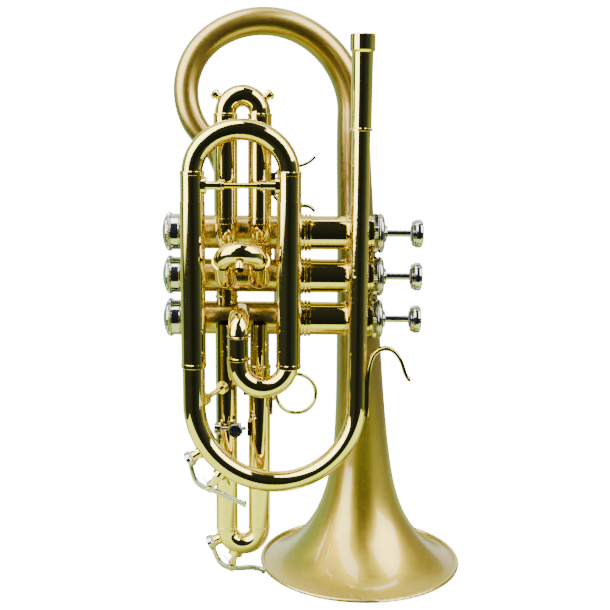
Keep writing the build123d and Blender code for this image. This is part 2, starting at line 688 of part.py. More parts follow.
left_face = LOOP_LEFT_X + 6.35
right_face = LOOP_RIGHT_X - 6.35
span = (LOOP_LEFT_X - 2, LOOP_RIGHT_X + 2)
brace = x_cylinder(span[0], span[1], 1.5, BRACE_Z, LOOP_Y)
for low, high, radius in (
    (span[0], left_face + 8.2, 2.3),
    (right_face - 8.2, span[1], 2.3),
    (left_face - 1.5, left_face + 0.9, 4.6),
    (right_face - 0.9, right_face + 1.5, 4.6),
    (left_face + 7.4, left_face + 8.8, 2.7),
    (right_face - 8.8, right_face - 7.4, 2.7),
    (left_face + 9.2, left_face + 10.4, 2.3),
    (right_face - 10.4, right_face - 9.2, 2.3),
):
    brace += x_cylinder(low, high, radius, BRACE_Z, LOOP_Y)
for x in (LOOP_LEFT_X, LOOP_RIGHT_X):
    brace -= Pos(x, LOOP_Y, BRACE_Z) * Cylinder(6.35, 30)
put("tuning_slide_brace", max(brace.solids(), key=lambda s: s.volume))

# ---------------------------------------------------------------- braces and pinky hook


def strut(start, end, radius, flange_r, flange, cutters):
    """Round strut with a disc at each end, trimmed to the tubes it is soldered to."""
    along = (Vector(*end) - Vector(*start)).normalized()
    body = rod(start, end, radius)
    body += rod(start, tuple(Vector(*start) + along * flange), flange_r)
    body += rod(tuple(Vector(*end) - along * flange), end, flange_r)
    for cutter in cutters:
        body -= cutter
    return max(body.solids(), key=lambda s: s.volume)


leadpipe_solid = tapered(pipe_stations, (1, 0, 0))
for name, z in (("upper", 238.0), ("lower", 128.0)):
    bell_y = -bell_radius(z)
    put(
        f"bell_brace_{name}",
        strut(
            (LEADPIPE_X, LOOP_Y + 3.0, z),
            (LEADPIPE_X, bell_y + 3.0, z),
            1.9,
            3.6,
            4.6,
            [leadpipe_solid, tail_solid],
        ),
    )

put(
    "valve_brace",
    strut(
        (LEADPIPE_X, LOOP_Y + 3.0, VALVE_2_Z),
        (LEADPIPE_X, VALVE_Y - CASING_R + 1.5, VALVE_2_Z),
        2.2,
        3.4,
        4.0,
        [leadpipe_solid, casing_body[1]],
    ),
)

main_tube_solid = bow_solid + bar(bow_rise, 6.1)
third_left_solid = Pos(THIRD_X[0], THIRD_Y, 110) * Cylinder(THIRD_LEG_R, 60)
put(
    "loop_brace",
    strut(
        (LOOP_LEFT_X + 4.6, LOOP_Y + 2.4, 112.0),
        (THIRD_X[0] - 1.2, THIRD_Y - 4.6, 116.5),
        1.5,
        3.4,
        2.9,
        [main_tube_solid, third_left_solid],
    ),
)

hook_path = Spline(
    (-0.5, LOOP_Y, 105.0),
    (-0.3, LOOP_Y, 119.2),
    (0.9, LOOP_Y, 133.2),
    (3.2, LOOP_Y, 139.3),
    (7.4, LOOP_Y, 142.1),
    (12.1, LOOP_Y, 141.7),
    (16.2, LOOP_Y, 137.8),
    (18.7, LOOP_Y, 132.4),
    (20.3, LOOP_Y, 127.9),
    (22.6, LOOP_Y, 125.0),
)
hook = ribbon(hook_path, HOOK_THICK, HOOK_WIDE)
hook -= leadpipe_solid
hook -= main_tube_solid
put("pinky_hook", max(hook.solids(), key=lambda s: s.volume))

# ---------------------------------------------------------------- water keys


def y_rod(x, z, y_low, y_high, radius):
    return rod((x, y_low, z), (x, y_high, z), radius)


def water_key(prefix, centre, nipple_deg, bow_r, tube_r, rise, pivot, arm, tongue, y, bow_solid):
    """Nipple and saddle on a bow, and the sprung lever with its cork that rocks on them."""
    angle = math.radians(nipple_deg)
    out = Vector(-math.cos(angle), 0, -math.sin(angle))
    middle = Vector(centre[0], y, centre[1])
    seat = middle + out * (bow_r + tube_r)

    def along(low, high, radius):
        return rod(tuple(seat + out * low), tuple(seat + out * high), radius)

    nipple = along(-2, rise, 2.7) + along(rise - 1.1, rise, 3.1) + along(-2, 0.9, 3.3)
    nipple -= along(-tube_r, rise + 1, 1.5)
    hinge = Vector(pivot[0], y, pivot[1])
    inward = (middle - hinge).normalized()
    reach = (middle - hinge).length - bow_r
    posts = None
    for side in (-1, 1):
        shift = Vector(0, side * KEY_POST_Y, 0)
        post_path = Line(tuple(hinge + shift), tuple(hinge + shift + inward * reach))
        post = ribbon(post_path, 3.4, 1.6)
        low, high = y + side * KEY_POST_Y - 0.8, y + side * KEY_POST_Y + 0.8
        post += y_rod(pivot[0], pivot[1], low, high, 2.4)
        posts = post if posts is None else posts + post
    base = rod(
        tuple(hinge + inward * (reach - 1)), tuple(hinge + inward * (reach - tube_r - 1.3)), 4.2
    )
    screw = y_rod(pivot[0], pivot[1], y - 4.8, y + 4.6, 0.7)
    screw += y_rod(pivot[0], pivot[1], y - 4.9, y - 3.9, 1.5)
    saddle = posts + base + screw + nipple - bow_solid
    put(f"{prefix}_saddle", Compound([s for s in saddle.solids() if s.volume > 3]))

    put(f"{prefix}_cork", along(rise + 0.02, rise + 2.2, 3.5))
    cup = along(rise + 1.2, rise + 4.2, 4.3)
    cup = chamfer(cup.edges().filter_by(GeomType.CIRCLE).sort_by(SortBy.RADIUS)[-2:], 0.4)
    barrel = y_rod(pivot[0], pivot[1], y - 1.9, y + 1.9, 2.4)
    points = [tuple(seat + out * (rise + 3.5)), *[(px, y, pz) for px, pz in arm]]
    points += [(px, y, pz) for px, pz in tongue]
    lever = ribbon(Spline(*points), 2.3, KEY_LEVER_WIDE) + barrel + cup
    tip = Vector(*points[-1])
    lever += y_rod(tip.X, tip.Z, y - 2.3, y + 2.3, 1.25)
    lever -= y_rod(pivot[0], pivot[1], y - 6, y + 6, 0.78)
    lever -= along(rise - 2, rise + 2.2, 3.5)
    put(f"{prefix}_lever", lever)


water_key(
    "water_key_main",
    (loop_mid_x, MAIN_BOW_Z),
    34.0,
    main_bow_r,
    5.75,
    3.8,
    (-85.4, 64.0),
    [(-95.4, 73.2), (-94.0, 68.4), (-91.0, 64.6)],
    [(-84.6, 61.9), (-76.4, 58.2), (-66.8, 54.0)],
    LOOP_Y,
    main_tube_solid,
)

water_key(
    "water_key_third",
    (third_mid, THIRD_BOW_Z),
    25.0,
    third_r,
    5.9,
    2.6,
    (-75.2, 9.2),
    [(-84.9, 16.4), (-82.9, 12.0), (-79.6, 8.6)],
    [(-74.8, 7.2), (-65.0, 7.6), (-57.0, 5.9)],
    THIRD_Y,
    bar(third_path, 5.9),
)
put("main_bow", main_bow + left_ferrule)

# ---------------------------------------------------------------- third slide stop

stop_rod = x_cylinder(THIRD_X[0] - 6.2, THIRD_X[1] - THIRD_LEG_R - 1.0, STOP_ROD_R, STOP_Z, STOP_Y)
stop_head = x_cylinder(THIRD_X[0] - 6.2, THIRD_X[0] - 2.4, 3.2, STOP_Z, STOP_Y)
stop_head = chamfer(stop_head.edges().filter_by(GeomType.CIRCLE), 0.4)
stop_block = Pos(STOP_X, STOP_Y + 0.6, STOP_Z) * Box(5.6, 4.6, 5.0)
stop_foot = Pos(STOP_X - 2.0, THIRD_Y - 4.4, STOP_Z) * Box(3.6, 6.0, 7.0)
stop = stop_rod + stop_head + stop_block + stop_foot
stop -= Pos(THIRD_X[0], THIRD_Y, STOP_Z) * Cylinder(THIRD_LEG_R, 40)
stop -= y_rod(STOP_X, STOP_Z, STOP_Y - 8, STOP_Y + 1.0, 1.25)
put("third_slide_stop", max(stop.solids(), key=lambda s: s.volume))

screw = y_rod(STOP_X, STOP_Z, STOP_Y - 4.0, STOP_Y + 0.8, 1.2)
knob = y_rod(STOP_X, STOP_Z, STOP_Y - 5.6, STOP_Y - 3.0, 3.7)
knob = chamfer(knob.edges().filter_by(GeomType.CIRCLE), 0.35)
put("third_slide_thumb_screw", screw + knob)
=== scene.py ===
"""Looks of a cornet that stands on its bell rim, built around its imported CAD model.

Metres. Origin at the centre of the bell rim, +Z up the bell, +X towards the finger buttons,
-Y towards the leadpipe and the main tuning slide.
"""

import json
import math

import bmesh
import bpy
from mathutils import Matrix, Vector


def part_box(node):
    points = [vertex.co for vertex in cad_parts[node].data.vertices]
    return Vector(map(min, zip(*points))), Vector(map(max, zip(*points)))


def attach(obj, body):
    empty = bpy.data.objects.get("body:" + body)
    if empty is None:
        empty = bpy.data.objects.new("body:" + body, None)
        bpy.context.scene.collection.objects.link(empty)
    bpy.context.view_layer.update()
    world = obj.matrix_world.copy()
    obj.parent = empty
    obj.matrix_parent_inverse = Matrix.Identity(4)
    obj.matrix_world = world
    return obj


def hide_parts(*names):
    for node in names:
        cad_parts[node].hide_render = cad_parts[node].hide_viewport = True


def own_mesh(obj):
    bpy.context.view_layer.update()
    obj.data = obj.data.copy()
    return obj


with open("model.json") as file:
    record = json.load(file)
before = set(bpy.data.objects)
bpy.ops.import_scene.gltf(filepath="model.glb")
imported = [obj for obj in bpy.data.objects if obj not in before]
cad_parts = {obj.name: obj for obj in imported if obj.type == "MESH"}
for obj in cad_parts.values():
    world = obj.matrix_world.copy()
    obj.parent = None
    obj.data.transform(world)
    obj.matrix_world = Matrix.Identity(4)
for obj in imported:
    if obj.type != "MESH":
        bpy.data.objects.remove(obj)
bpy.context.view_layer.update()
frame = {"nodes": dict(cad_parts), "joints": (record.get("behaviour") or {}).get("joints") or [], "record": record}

MM = 0.001
VALVES = (1, 2, 3)
nodes = frame["nodes"]
scene = bpy.context.scene


# ---------------------------------------------------------------- camera

CAMERA_AT = Vector((-34.3, -584.0, 257.5)) * MM
PITCH_DOWN = 9.8
ROLL = 0.5
LENS = 59.9
SENSOR = 36.0

pitch, roll = math.radians(PITCH_DOWN), math.radians(ROLL)
forward = Vector((0, math.cos(pitch), -math.sin(pitch)))
level = Vector((1, 0, 0))
above = level.cross(forward)
right = level * math.cos(roll) + above * math.sin(roll)
up = above * math.cos(roll) - level * math.sin(roll)
camera_data = bpy.data.cameras.new("camera")
camera_data.lens = LENS
camera_data.sensor_width = SENSOR
camera_data.clip_start = 0.01
camera_data.clip_end = 50.0
camera = bpy.data.objects.new("camera", camera_data)
facing = Matrix((right, up, -forward)).transposed().to_4x4()
camera.matrix_world = Matrix.Translation(CAMERA_AT) @ facing
scene.collection.objects.link(camera)
scene.camera = camera


# ---------------------------------------------------------------- node helpers


class Graph:
    """Short calls for building a node tree."""

    def __init__(self, tree):
        self.tree = tree
        self.nodes = tree.nodes
        self.links = tree.links

    def add(self, kind, **values):
        node = self.nodes.new(kind)
        for name, value in values.items():
            setattr(node, name, value)
        return node

    def wire(self, source, target):
        self.links.new(source, target)

    def feed(self, socket, value):
        if isinstance(value, bpy.types.NodeSocket):
            self.wire(value, socket)
        else:
            socket.default_value = value

    def math(self, operation, first, second=0.0):
        node = self.add("ShaderNodeMath", operation=operation)
        self.feed(node.inputs[0], first)
        self.feed(node.inputs[1], second)
        return node.outputs[0]

    def step(self, value, low, high, out_low=0.0, out_high=1.0):
        """Smooth step of a value between two edges."""
        node = self.add("ShaderNodeMapRange", interpolation_type="SMOOTHSTEP")
        for name, item in (
            ("Value", value),
            ("From Min", low),
            ("From Max", high),
            ("To Min", out_low),
            ("To Max", out_high),
        ):
            self.feed(node.inputs[name], item)
        return node.outputs["Result"]

    def mix(self, factor, first, second):
        """Blend of two colours; sockets 6, 7 and 2 are the colour ones of a mix node."""
        node = self.add("ShaderNodeMix", data_type="RGBA")
        self.feed(node.inputs[0], factor)
        self.feed(node.inputs[6], first)
        self.feed(node.inputs[7], second)
        return node.outputs[2]

    def place(self):
        """The object's own coordinates."""
        return self.add("ShaderNodeTexCoord").outputs["Object"]

    def split(self, vector):
        node = self.add("ShaderNodeSeparateXYZ")
        self.wire(vector, node.inputs[0])
        return tuple(node.outputs)


# ---------------------------------------------------------------- studio light

WHITE = (1.0, 1.0, 1.0, 1.0)
BACKDROP = 17.0
BOX = (10.0, 10.4, 11.0, 1)
REAR_BOX_SHARE = 0.11
ROOM_DARK = (0.015, 0.019, 0.042, 1)
ROOM_PALE = (0.052, 0.066, 0.100, 1)
WALL_LEFT = (0.53, 0.87, 0.44, 1)
WALL_RIGHT = (0.36, 0.58, 0.44, 1)
WALL_RIGHT_REAR = (0.46, 0.44, 0.21, 1)
CREAM = (1.4, 1.5, 0.88, 1)

# windows in degrees: first edge, last edge, softness. Clock is 0 up and positive to the right,
# away is the angle from straight ahead of the object, around and height are bearing and rise.
LEFT_CLOCK = (-97.0, -1.0, 1.5)
LEFT_NEAR, LEFT_FAR = (36.0, 68.0), (80.0, 97.0)
RIGHT_CLOCK, RIGHT_AWAY = (24.0, 74.0, 1.5), (48.0, 90.0, 1.5)
LINE_CLOCK, LINE_AWAY = (-30.0, 26.0, 2.0), (94.0, 99.5, 1.0)
REAR_AROUND, REAR_HEIGHT = (146.0, 174.0, 3.0), (-4.0, 62.0, 3.0)
CREAM_CLOCK, CREAM_AWAY = (-40.0, 40.0, 8.0), (104.0, 110.0)


def build_world():
    """A soft studio by direction: boxes of light, a dark room in front and pale walls behind.

    The camera itself sees plain white.
    """
    world = bpy.data.worlds.new("studio")
    scene.world = world
    world.use_nodes = True
    world.node_tree.nodes.clear()
    g = Graph(world.node_tree)
    x, y, z = g.split(g.add("ShaderNodeTexCoord").outputs["Generated"])
    front = g.math("MULTIPLY", y, -1.0)

    def degrees(value):
        return g.math("MULTIPLY", value, math.degrees(1.0))

    around = degrees(g.math("ARCTAN2", x, front))  # 0 to the front, positive to the right
    height = degrees(g.math("ARCSINE", z))
    away = degrees(g.math("ARCCOSINE", front))  # angle from the front axis
    clock = degrees(g.math("ARCTAN2", x, z))  # 0 up, positive to the right

    def window(value, low, high, soft):
        rise = g.step(value, g.math("SUBTRACT", low, soft), g.math("ADD", low, soft))
        fall = g.step(value, g.math("SUBTRACT", high, soft), g.math("ADD", high, soft), 1.0, 0.0)
        return g.math("MULTIPLY", rise, fall)

    def both(first, second):
        return g.math("MULTIPLY", first, second)

    # the dark room in front, a little lighter to the sides and overhead
    aside = g.step(g.math("ABSOLUTE", g.math("SUBTRACT", around, 5.0)), 4.0, 42.0)
    over = g.step(height, -20.0, 55.0)
    lift = g.math("MINIMUM", g.math("ADD", both(aside, 0.75), both(over, 0.4)), 1.0)
    colour = g.mix(lift, ROOM_DARK, ROOM_PALE)

    # pale walls at the sides and behind
    right_wall = g.step(around, 48.0, 118.0)
    wall = g.mix(g.step(around, 70.0, 120.0), WALL_RIGHT, WALL_RIGHT_REAR)
    colour = g.mix(right_wall, colour, wall)
    colour = g.mix(g.step(around, -96.0, -102.0), colour, WALL_LEFT)
    cream = both(window(clock, *CREAM_CLOCK), g.step(away, *CREAM_AWAY))
    colour = g.mix(cream, colour, CREAM)

    # a slanted box on the left, a straight one on the right, a thin line above, two dim ones behind
    slant = (LEFT_NEAR[1] - LEFT_NEAR[0]) / 45.0
    slope = g.math("MULTIPLY", g.math("MAXIMUM", g.math("ADD", clock, 45.0), 0.0), slant)
    near = g.math("ADD", slope, LEFT_NEAR[0])
    far = g.step(clock, -90.0, -45.0, *LEFT_FAR)
    left_box = both(window(clock, *LEFT_CLOCK), window(away, near, far, LEFT_CLOCK[2]))
    right_box = both(window(clock, *RIGHT_CLOCK), window(away, *RIGHT_AWAY))
    line = both(window(clock, *LINE_CLOCK), window(away, *LINE_AWAY))
    rear = window(g.math("ABSOLUTE", around), *REAR_AROUND)
    rear_box = both(both(rear, window(height, *REAR_HEIGHT)), REAR_BOX_SHARE)
    boxes = g.math("MAXIMUM", left_box, right_box)
    boxes = g.math("MAXIMUM", g.math("MAXIMUM", boxes, line), rear_box)
    colour = g.mix(boxes, colour, BOX)

    path = g.add("ShaderNodeLightPath")
    seen = g.add("ShaderNodeBackground")
    seen.inputs["Color"].default_value = WHITE
    seen.inputs["Strength"].default_value = BACKDROP
    cast = g.add("ShaderNodeBackground")
    cast.inputs["Strength"].default_value = 1.0
    g.wire(colour, cast.inputs["Color"])
    choose = g.add("ShaderNodeMixShader")
    g.wire(path.outputs["Is Camera Ray"], choose.inputs[0])
    g.wire(cast.outputs[0], choose.inputs[1])
    g.wire(seen.outputs[0], choose.inputs[2])
    out = g.add("ShaderNodeOutputWorld")
    g.wire(choose.outputs[0], out.inputs["Surface"])


build_world()


# ---------------------------------------------------------------- materials

BUMP_DEPTH = 0.0001
COAT_ROUGHNESS = 0.02
SLOW_SCALE = 28.0
SLOW_EDGES = (0.42, 0.68)
BRUSH_LINES = 850.0
TARNISH = (0.50, 0.33, 0.10, 1)
SATIN_SHADE = (0.34, 0.225, 0.030, 1)
# painted light on the low flare of the bell, partly a lighter finish too
SATIN_FLARE_LIT = (0.53, 0.375, 0.027, 1)
FLARE_LIGHT_HEIGHTS = (0.030, 0.085)
BRASS_TONES = ((0.76, 0.60, 0.125, 1), (0.73, 0.56, 0.110, 1))
CASING_TONES = ((0.49, 0.355, 0.070, 1), (0.44, 0.312, 0.059, 1))
NICKEL_TONES = ((0.49, 0.48, 0.43, 1), (0.43, 0.42, 0.375, 1))
STEEL_TONES = ((0.56, 0.55, 0.53, 1), (0.50, 0.49, 0.47, 1))
SATIN_TONES = ((0.375, 0.250, 0.040, 1), (0.33, 0.215, 0.034, 1))
CROOK_TONES = ((0.46, 0.318, 0.040, 1), (0.40, 0.270, 0.034, 1))
CROOK_MIDDLE = (-0.0545, 0.276)
CROOK_BEND = 0.045
BRUSHED_BELOW_X = -0.0365
BRUSH_EDGE = 0.0005


def new_material(name):
    material = bpy.data.materials.new(name)
    material.use_nodes = True
    graph = Graph(material.node_tree)
    shader = graph.nodes["Principled BSDF"]
    return material, graph, shader


def noise(g, vector, scale, detail=3.0, roughness=0.5):
    node = g.add("ShaderNodeTexNoise")
    g.wire(vector, node.inputs["Vector"])
    node.inputs["Scale"].default_value = scale
    node.inputs["Detail"].default_value = detail
    node.inputs["Roughness"].default_value = roughness
    return node.outputs["Fac"]


def bump(g, shader, height, strength, distance):
    node = g.add("ShaderNodeBump")
    node.inputs["Strength"].default_value = strength
    node.inputs["Distance"].default_value = distance
    g.wire(height, node.inputs["Height"])
    g.wire(node.outputs[0], shader.inputs["Normal"])


def lacquer(shader, weight):
    shader.inputs["Metallic"].default_value = 1.0
    shader.inputs["Coat Weight"].default_value = weight
    shader.inputs["Coat Roughness"].default_value = COAT_ROUGHNESS


def polished(name, tones, roughness, coat):
    """Mirror metal with a faint waviness, fine wiping marks and slow changes of tone."""
    material, g, shader = new_material(name)
    place = g.place()
    slow = noise(g, place, SLOW_SCALE, 4.0)
    tone = g.mix(g.step(slow, *SLOW_EDGES), *tones)
    fine = noise(g, place, 900.0)
    specks = g.step(noise(g, place, 2600.0, 1.0), 0.70, 0.78)
    g.wire(g.mix(g.math("MULTIPLY", specks, 0.35), tone, TARNISH), shader.inputs["Base Color"])
    rough = g.step(fine, 0.3, 0.75, roughness, roughness * 2.2)
    g.wire(g.math("ADD", rough, g.math("MULTIPLY", specks, 0.08)), shader.inputs["Roughness"])
    bump(g, shader, slow, 0.004, BUMP_DEPTH)
    lacquer(shader, coat)
    return material


def satin(name, tones, lines):
    """Brushed metal under clear lacquer, made lighter on the low flare of the bell by painted light, partly a
    lighter finish there too.

    lines gives the coordinate that the brush marks follow.
    """
    material, g, shader = new_material(name)
    place = g.place()
    x, y, z = g.split(place)
    stretched = g.add("ShaderNodeCombineXYZ")
    for socket, value in zip(stretched.inputs, lines(g, x, y, z)):
        g.feed(socket, value)
    coarse = noise(g, stretched.outputs[0], 1.0, 4.0, 0.62)
    hair = noise(g, stretched.outputs[0], 3.1, 2.0, 0.6)
    cloud = noise(g, place, 20.0, 5.0)
    tone = g.mix(g.step(cloud, 0.35, 0.7), *tones)
    height = g.math("ADD", z, g.math("MULTIPLY", cloud, 0.012))
    # painted light: the satin turns lighter low on the flare, where it faces up into the light; partly a lighter
    # finish too
    tone = g.mix(g.step(height, *FLARE_LIGHT_HEIGHTS, 0.12, 1.0), SATIN_FLARE_LIT, tone)
    streaks = g.math("MULTIPLY", g.step(coarse, 0.40, 0.66), 0.16)
    g.wire(g.mix(streaks, tone, SATIN_SHADE), shader.inputs["Base Color"])
    g.wire(g.step(hair, 0.3, 0.7, 0.30, 0.36), shader.inputs["Roughness"])
    bump(g, shader, g.math("ADD", coarse, g.math("MULTIPLY", hair, 0.4)), 0.005, BUMP_DEPTH)
    lacquer(shader, 1.0)
    return material


def casing_material():
    """Valve casings: a mirror sleeve at the buttons' end, brushed from the rings on."""
    material, g, shader = new_material("casing_brass")
    place = g.place()
    x, _, z = g.split(place)
    edges = (BRUSHED_BELOW_X - BRUSH_EDGE, BRUSHED_BELOW_X + BRUSH_EDGE)
    brushed = g.step(x, *edges, 1.0, 0.0)
    turning = g.add("ShaderNodeCombineXYZ")
    g.wire(g.math("MULTIPLY", x, 1400.0), turning.inputs[0])
    g.wire(g.math("MULTIPLY", z, 25.0), turning.inputs[2])
    hair = noise(g, turning.outputs[0], 1.0, 3.0, 0.6)
    slow = noise(g, place, SLOW_SCALE, 4.0)
    mirror = g.mix(g.step(slow, *SLOW_EDGES), *BRASS_TONES)
    matte = g.mix(g.step(hair, 0.35, 0.7), *CASING_TONES)
    g.wire(g.mix(brushed, mirror, matte), shader.inputs["Base Color"])
    extra = g.math("MULTIPLY", brushed, g.step(hair, 0.3, 0.7, 0.20, 0.24))
    g.wire(g.math("ADD", g.step(slow, 0.3, 0.75, 0.025, 0.05), extra), shader.inputs["Roughness"])
    marks = g.math("MULTIPLY", hair, g.math("MULTIPLY", brushed, 0.4))
    bump(g, shader, g.math("ADD", slow, marks), 0.004, BUMP_DEPTH)
    lacquer(shader, 0.15)
    return material


def reach(g, first, second):
    squares = g.math("ADD", g.math("MULTIPLY", first, first), g.math("MULTIPLY", second, second))
    return g.math("SQRT", squares)


def bell_lines(g, x, y, z):
    """Rings about the bell's own axis: quick along it and out from it, slow around it."""
    along = g.math("ADD", z, reach(g, x, y))
    turn = g.math("ARCTAN2", y, x)
    return g.math("MULTIPLY", along, BRUSH_LINES), g.math("MULTIPLY", turn, 1.6), 0.0


def crook_lines(g, x, y, z):
    """Rings about the crook's tube: quick with the angle about the bend's centre."""
    side = g.math("SUBTRACT", x, CROOK_MIDDLE[0])
    rise = g.math("SUBTRACT", z, CROOK_MIDDLE[1])
    turn = g.math("ARCTAN2", rise, side)
    return (
        g.math("MULTIPLY", turn, BRUSH_LINES * CROOK_BEND),
        g.math("MULTIPLY", y, 30.0),
        g.math("MULTIPLY", reach(g, side, rise), 30.0),
    )


BRASS = polished("lacquered_brass", BRASS_TONES, 0.025, 0.08)
NICKEL = polished("nickel_plate", NICKEL_TONES, 0.07, 0.0)
STEEL = polished("spring_steel", STEEL_TONES, 0.12, 0.0)
SATIN = satin("satin_brass", SATIN_TONES, bell_lines)
SATIN_CROOK = satin("satin_brass_crook", CROOK_TONES, crook_lines)


def cork_material():
    material, g, shader = new_material("cork")
    place = g.place()
    grain = noise(g, place, 1400.0, 4.0, 0.7)
    tone = g.mix(g.step(grain, 0.35, 0.65), (0.42, 0.25, 0.12, 1), (0.66, 0.45, 0.25, 1))
    cells = g.add("ShaderNodeTexVoronoi")
    g.wire(place, cells.inputs["Vector"])
    cells.inputs["Scale"].default_value = 1100.0
    pits = g.step(cells.outputs["Distance"], 0.12, 0.3, 1.0, 0.0)
    g.wire(g.mix(pits, tone, (0.16, 0.08, 0.04, 1)), shader.inputs["Base Color"])
    shader.inputs["Roughness"].default_value = 0.85
    bump(g, shader, g.math("SUBTRACT", grain, pits), 0.5, 0.0002)
    return material


CORK = cork_material()
CASING = casing_material()

slot_of = {part["node"]: part["material_slot"] for part in frame["record"]["subparts"]}
finish = {
    "lacquered_brass": BRASS,
    "satin_brass": SATIN,
    "nickel_plate": NICKEL,
    "piston_metal": NICKEL,
    "spring_steel": STEEL,
    "cork": CORK,
}
special = {"bell_crook": SATIN_CROOK}
special.update({f"valve_casing_{number}": CASING for number in VALVES})
for name, thing in nodes.items():
    thing.data.materials.clear()
    thing.data.materials.append(special.get(name, finish[slot_of[name]]))


# ---------------------------------------------------------------- turned and wire pieces

SHARP_ANGLE = 0.6  # radians


def piece(name, verts, faces, body, material):
    """A closed mesh that rides on a body; sharp where two faces meet at more than SHARP_ANGLE."""
    mesh = bpy.data.meshes.new(name)
    mesh.from_pydata([tuple(v) for v in verts], [], faces)
    work = bmesh.new()
    work.from_mesh(mesh)
    bmesh.ops.recalc_face_normals(work, faces=work.faces)
    work.to_mesh(mesh)
    work.free()
    mesh.shade_smooth()
    mesh.set_sharp_from_angle(angle=SHARP_ANGLE)
    thing = bpy.data.objects.new(name, mesh)
    scene.collection.objects.link(thing)
    mesh.materials.append(material)
    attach(thing, body)
    return thing


def frame_of(axis):
    """A unit axis and two unit directions square to it."""
    axis = Vector(axis).normalized()
    side = axis.orthogonal().normalized()
    return axis, side, axis.cross(side)


def turned(name, profile, at, axis, body, material, steps):
    """Turns rows of distance along, radius and, on a knurl, tooth depth into one closed solid."""
    axis, side, other = frame_of(axis)
    at = Vector(at)
    rows = [row if len(row) == 3 else (*row, 0.0) for row in profile]
    verts, faces, rings = [], [], []
    for along, radius, depth in rows:
        if radius <= 0:
            rings.append([len(verts)])
            verts.append(at + axis * along * MM)
            continue
        ring = []
        for step in range(steps):
            angle = 2 * math.pi * step / steps
            ring.append(len(verts))
            spoke = side * math.cos(angle) + other * math.sin(angle)
            verts.append(at + axis * along * MM + spoke * (radius - depth * (step % 2)) * MM)
        rings.append(ring)
    closed = len(rings[0]) > 1 and len(rings[-1]) > 1
    pairs = list(zip(rings, rings[1:]))
    if closed:
        pairs.append((rings[-1], rings[0]))
    for low, high in pairs:
        for step in range(steps):
            after = (step + 1) % steps
            if len(low) == 1:
                faces.append((low[0], high[after], high[step]))
            elif len(high) == 1:
                faces.append((low[step], low[after], high[0]))
            else:
                faces.append((low[step], low[after], high[after], high[step]))
    return piece(name, verts, faces, body, material)


def middle(node):
    """The middle and the two corners of a node's box."""
    low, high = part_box(node)
    return (Vector(low) + Vector(high)) / 2, Vector(low), Vector(high)


def wire(name, points, radius, body, material):
    """A round wire along points, turned into a mesh with closed ends."""
    curve = bpy.data.curves.new(name, "CURVE")
    curve.dimensions = "3D"
    spline = curve.splines.new("POLY")
    spline.points.add(len(points) - 1)
    for point, place in zip(spline.points, points):
        point.co = (*place, 1)
    curve.bevel_depth = radius * MM
    curve.bevel_resolution = 3
    curve.use_fill_caps = True
    maker = bpy.data.objects.new(name + "_maker", curve)
    scene.collection.objects.link(maker)
    bpy.context.view_layer.update()
    built = maker.evaluated_get(bpy.context.evaluated_depsgraph_get())
    mesh = bpy.data.meshes.new_from_object(built)
    bpy.data.objects.remove(maker)
    bpy.data.curves.remove(curve)
    mesh.name = name
    mesh.shade_smooth()
    mesh.materials.clear()
    mesh.materials.append(material)
    thing = bpy.data.objects.new(name, mesh)
    scene.collection.objects.link(thing)
    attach(thing, body)
    return thing


def pearl_material():
    material, g, shader = new_material("pearl")
    place = g.place()
    swirl = noise(g, place, 260.0, 4.0, 0.6)
    layer = g.add("ShaderNodeTexWave", wave_type="BANDS")
    g.wire(place, layer.inputs["Vector"])
    layer.inputs["Scale"].default_value = 90.0
    layer.inputs["Distortion"].default_value = 9.0
    layer.inputs["Detail"].default_value = 3.0
    blend = g.mix(swirl, (0.86, 0.83, 0.80, 1), (0.62, 0.72, 0.70, 1))
    g.wire(
        g.mix(g.math("MULTIPLY", layer.outputs["Fac"], 0.4), blend, (0.84, 0.70, 0.74, 1)),
        shader.inputs["Base Color"],
    )
    shader.inputs["Roughness"].default_value = 0.16
    shader.inputs["Coat Weight"].default_value = 0.8
    shader.inputs["Coat Roughness"].default_value = 0.04
    shader.inputs["Subsurface Weight"].default_value = 0.1
    bump(g, shader, layer.outputs["Fac"], 0.05, BUMP_DEPTH)
    return material


def felt_material():
    material, g, shader = new_material("felt")
    place = g.place()
    hairs = noise(g, place, 2400.0, 5.0, 0.75)
    g.wire(
        g.mix(g.step(hairs, 0.3, 0.7), (0.016, 0.016, 0.018, 1), (0.075, 0.072, 0.070, 1)),
        shader.inputs["Base Color"],
    )
    shader.inputs["Roughness"].default_value = 0.95
    shader.inputs["Sheen Weight"].default_value = 0.5
    shader.inputs["Sheen Roughness"].default_value = 0.5
    bump(g, shader, hairs, 0.8, 0.0003)
    return material


PEARL = pearl_material()
FELT = felt_material()

# turned profiles in mm: distance along, radius, tooth depth
TOP_CAP = (
    (0.0, 9.9),
    (0.0, 10.3),
    (0.4, 10.8, 0.0),
    (0.5, 11.0, 0.22),
    (2.2, 11.0, 0.22),
    (2.35, 10.7, 0.0),
    (2.6, 10.35),
    (2.9, 10.35),
    (3.1, 10.7),
    (3.6, 10.98),
    (4.4, 10.95),
    (5.1, 10.5),
    (5.7, 9.6),
    (6.1, 8.4),
    (6.2, 7.2),
    (6.25, 5.4),
    (6.4, 4.9),
    (6.9, 4.7),
    (7.3, 4.4),
    (7.6, 3.7),
    (7.6, 2.3),
    (4.0, 2.3),
    (3.0, 9.3),
)
KNURL = ((0.0, 10.0), (0.0, 10.5), (0.15, 10.88, 0.2), (1.15, 10.88, 0.2), (1.3, 10.5), (1.3, 10.0))
INLAY = ((0.0, 0.0), (0.0, 5.9), (0.28, 6.0), (0.40, 5.6), (0.56, 4.0), (0.66, 2.0), (0.70, 0.0))
FELT_RING = ((0.0, 2.0), (0.0, 4.0), (0.2, 4.4), (0.6, 4.4), (0.8, 4.2), (0.8, 2.0))
